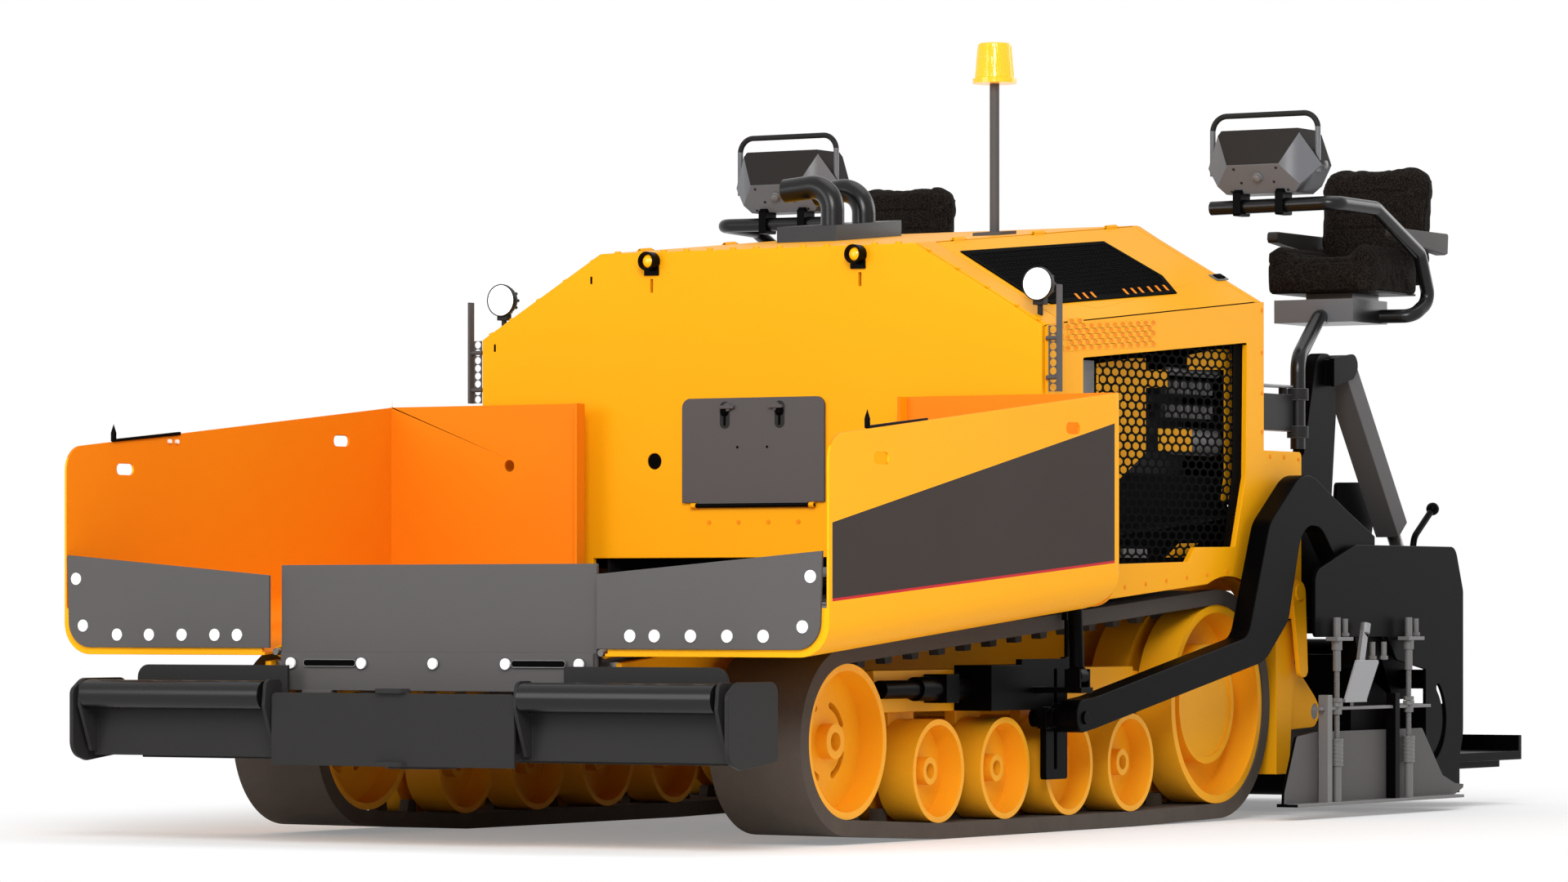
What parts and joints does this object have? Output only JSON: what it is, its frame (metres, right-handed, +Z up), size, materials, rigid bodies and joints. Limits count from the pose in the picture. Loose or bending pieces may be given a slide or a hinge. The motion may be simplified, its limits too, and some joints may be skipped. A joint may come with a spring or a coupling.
{
  "type": "tracked asphalt paver",
  "caption": "Tracked asphalt paver with a folding front hopper, slat conveyors, closed engine hood, augers, two swing-out operator stations and a towed extending screed.",
  "frame": {"origin": "on the ground under the middle of the machine's length and width", "axes": "+X forward to the hopper, +Y to the machine's left, +Z up"},
  "size_m": [6.36, 3.1, 2.9123],
  "materials": {
    "orange_paint": "gloss",
    "black_paint": "satin",
    "grey_paint": "satin",
    "worn_steel": "brushed",
    "track_rubber": "matt",
    "seat_cover": "matt",
    "amber_lens": "gloss",
    "lamp_glass": "gloss",
    "engine_grey": "matt",
    "mesh_black": "matt"
  },
  "bodies": {
    "chassis": {"tracks": "track_rubber", "track_wheels": "orange_paint", "track_frames": "orange_paint", "main_frame": "orange_paint", "hopper_floor": "worn_steel", "slat_conveyors": "worn_steel", "bumper_frame": "black_paint", "hopper_apron": "grey_paint", "tow_guides": "black_paint", "hood_front": "orange_paint", "hood_sides": "orange_paint", "side_grilles": "mesh_black", "hood_roof": "orange_paint", "hood_rear": "orange_paint", "engine_deck": "black_paint", "engine_block": "engine_grey", "rear_columns": "orange_paint", "auger_case": "black_paint", "lift_posts": "black_paint", "station_brackets": "black_paint", "headlights": "lamp_glass", "hood_lamps": "amber_lens", "marker_posts": "grey_paint", "beacon_mast": "black_paint", "beacon_lens": "amber_lens", "exhaust_pipes": "black_paint"},
    "wing_left": {"wing_left": "orange_paint", "wing_flap_left": "grey_paint"},
    "wing_right": {"wing_right": "orange_paint", "wing_flap_right": "grey_paint"},
    "wing_barrel_left": {"wing_cylinder_barrel_left": "black_paint"},
    "wing_barrel_right": {"wing_cylinder_barrel_right": "black_paint"},
    "wing_rod_left": {"wing_cylinder_rod_left": "worn_steel"},
    "wing_rod_right": {"wing_cylinder_rod_right": "worn_steel"},
    "push_bar": {"push_bar": "black_paint"},
    "push_roller_left": {"push_roller_left": "black_paint"},
    "push_roller_right": {"push_roller_right": "black_paint"},
    "hood_door": {"hood_door": "grey_paint"},
    "hood_lid_left": {"hood_lid_left": "orange_paint"},
    "hood_lid_right": {"hood_lid_right": "orange_paint"},
    "station_left": {"station_frame_left": "black_paint", "console_left": "grey_paint", "seat_left": "seat_cover"},
    "station_right": {"station_frame_right": "black_paint", "console_right": "grey_paint", "seat_right": "seat_cover"},
    "screed": {"tow_arms": "black_paint", "screed_frame": "black_paint"},
    "extension_left": {"screed_extension_left": "black_paint", "end_gate_left": "black_paint"},
    "extension_right": {"screed_extension_right": "black_paint", "end_gate_right": "black_paint"},
    "lift_barrels": {"lift_cylinder_barrels": "black_paint"},
    "lift_rods": {"lift_cylinder_rods": "worn_steel"},
    "auger_left": {"auger_left": "worn_steel"},
    "auger_right": {"auger_right": "worn_steel"}
  },
  "joints": [
    {"name": "wing_fold_left", "type": "hinge", "parent": "chassis", "child": "wing_left", "pos_m": [2.9, 0.66, 0.649], "axis": [0.9966, 0, -0.0827], "range_deg": [0, 55]},
    {"name": "wing_cylinder_tilt_left", "type": "hinge", "parent": "chassis", "child": "wing_barrel_left", "pos_m": [0.8555, 1.36, 0.56], "axis": [1, 0, 0], "range_deg": [0, 33]},
    {"name": "wing_cylinder_stroke_left", "type": "slide", "parent": "wing_barrel_left", "child": "wing_rod_left", "axis": [0, -0.0366, 0.9993], "range_m": [0, 0.56]},
    {"name": "wing_fold_right", "type": "hinge", "parent": "chassis", "child": "wing_right", "pos_m": [2.9, -0.66, 0.649], "axis": [-0.9966, 0, 0.0827], "range_deg": [0, 55]},
    {"name": "wing_cylinder_tilt_right", "type": "hinge", "parent": "chassis", "child": "wing_barrel_right", "pos_m": [0.8555, -1.36, 0.56], "axis": [-1, 0, 0], "range_deg": [0, 33]},
    {"name": "wing_cylinder_stroke_right", "type": "slide", "parent": "wing_barrel_right", "child": "wing_rod_right", "axis": [0, 0.0366, 0.9993], "range_m": [0, 0.56]},
    {"name": "push_bar_pivot", "type": "hinge", "parent": "chassis", "child": "push_bar", "pos_m": [2.99, 0, 0.385], "axis": [0, 0, 1], "range_deg": [-3, 3]},
    {"name": "push_roller_spin_left", "type": "hinge", "parent": "push_bar", "child": "push_roller_left", "pos_m": [3.13, 0.9, 0.505], "axis": [0, 1, 0], "continuous": true},
    {"name": "push_roller_spin_right", "type": "hinge", "parent": "push_bar", "child": "push_roller_right", "pos_m": [3.13, -0.9, 0.505], "axis": [0, 1, 0], "continuous": true},
    {"name": "hood_door_hinge", "type": "hinge", "parent": "chassis", "child": "hood_door", "pos_m": [0.825, 0, 1.176], "axis": [0, -1, 0], "range_deg": [-95, 0]},
    {"name": "hood_lid_hinge_left", "type": "hinge", "parent": "chassis", "child": "hood_lid_left", "pos_m": [0.66, 0.674, 2.12787], "axis": [0.9959, 0, -0.0903], "range_deg": [0, 80]},
    {"name": "hood_lid_hinge_right", "type": "hinge", "parent": "chassis", "child": "hood_lid_right", "pos_m": [0.66, -0.674, 2.12787], "axis": [-0.9959, 0, 0.0903], "range_deg": [0, 80]},
    {"name": "station_swing_left", "type": "hinge", "parent": "chassis", "child": "station_left", "pos_m": [-1.26, 1.185, 1.6], "axis": [0, 0, -1], "range_deg": [0, 40]},
    {"name": "station_swing_right", "type": "hinge", "parent": "chassis", "child": "station_right", "pos_m": [-1.26, -1.185, 1.6], "axis": [0, 0, 1], "range_deg": [0, 40]},
    {"name": "screed_lift", "type": "hinge", "parent": "chassis", "child": "screed", "pos_m": [0.73, 0, 0.41], "axis": [0, 1, 0], "range_deg": [0, 7.5]},
    {"name": "lift_cylinder_tilt", "type": "hinge", "parent": "chassis", "child": "lift_barrels", "pos_m": [-1.697, 0, 1.745], "axis": [0, 1, 0], "range_deg": [0, 12.6]},
    {"name": "lift_cylinder_stroke", "type": "slide", "parent": "lift_barrels", "child": "lift_rods", "axis": [-0.6066, 0, -0.795], "range_m": [-0.352, 0]},
    {"name": "extension_slide_left", "type": "slide", "parent": "screed", "child": "extension_left", "axis": [0, 1, 0], "range_m": [0, 0.95]},
    {"name": "extension_slide_right", "type": "slide", "parent": "screed", "child": "extension_right", "axis": [0, -1, 0], "range_m": [0, 0.95]},
    {"name": "auger_spin_left", "type": "hinge", "parent": "chassis", "child": "auger_left", "pos_m": [-1.45, 0.6, 0.4], "axis": [0, 1, 0], "continuous": true},
    {"name": "auger_spin_right", "type": "hinge", "parent": "chassis", "child": "auger_right", "pos_m": [-1.45, -0.6, 0.4], "axis": [0, 1, 0], "continuous": true}
  ],
  "couplings": [
    {"joint": "wing_cylinder_tilt_left", "follows": "wing_fold_left", "ratio": 0.5891},
    {"joint": "wing_cylinder_stroke_left", "follows": "wing_fold_left", "m_per_rad": 0.5725},
    {"joint": "wing_cylinder_tilt_right", "follows": "wing_fold_right", "ratio": 0.5891},
    {"joint": "wing_cylinder_stroke_right", "follows": "wing_fold_right", "m_per_rad": 0.5725},
    {"joint": "lift_cylinder_tilt", "follows": "screed_lift", "ratio": 1.659},
    {"joint": "lift_cylinder_stroke", "follows": "screed_lift", "m_per_rad": -2.679}
  ]
}
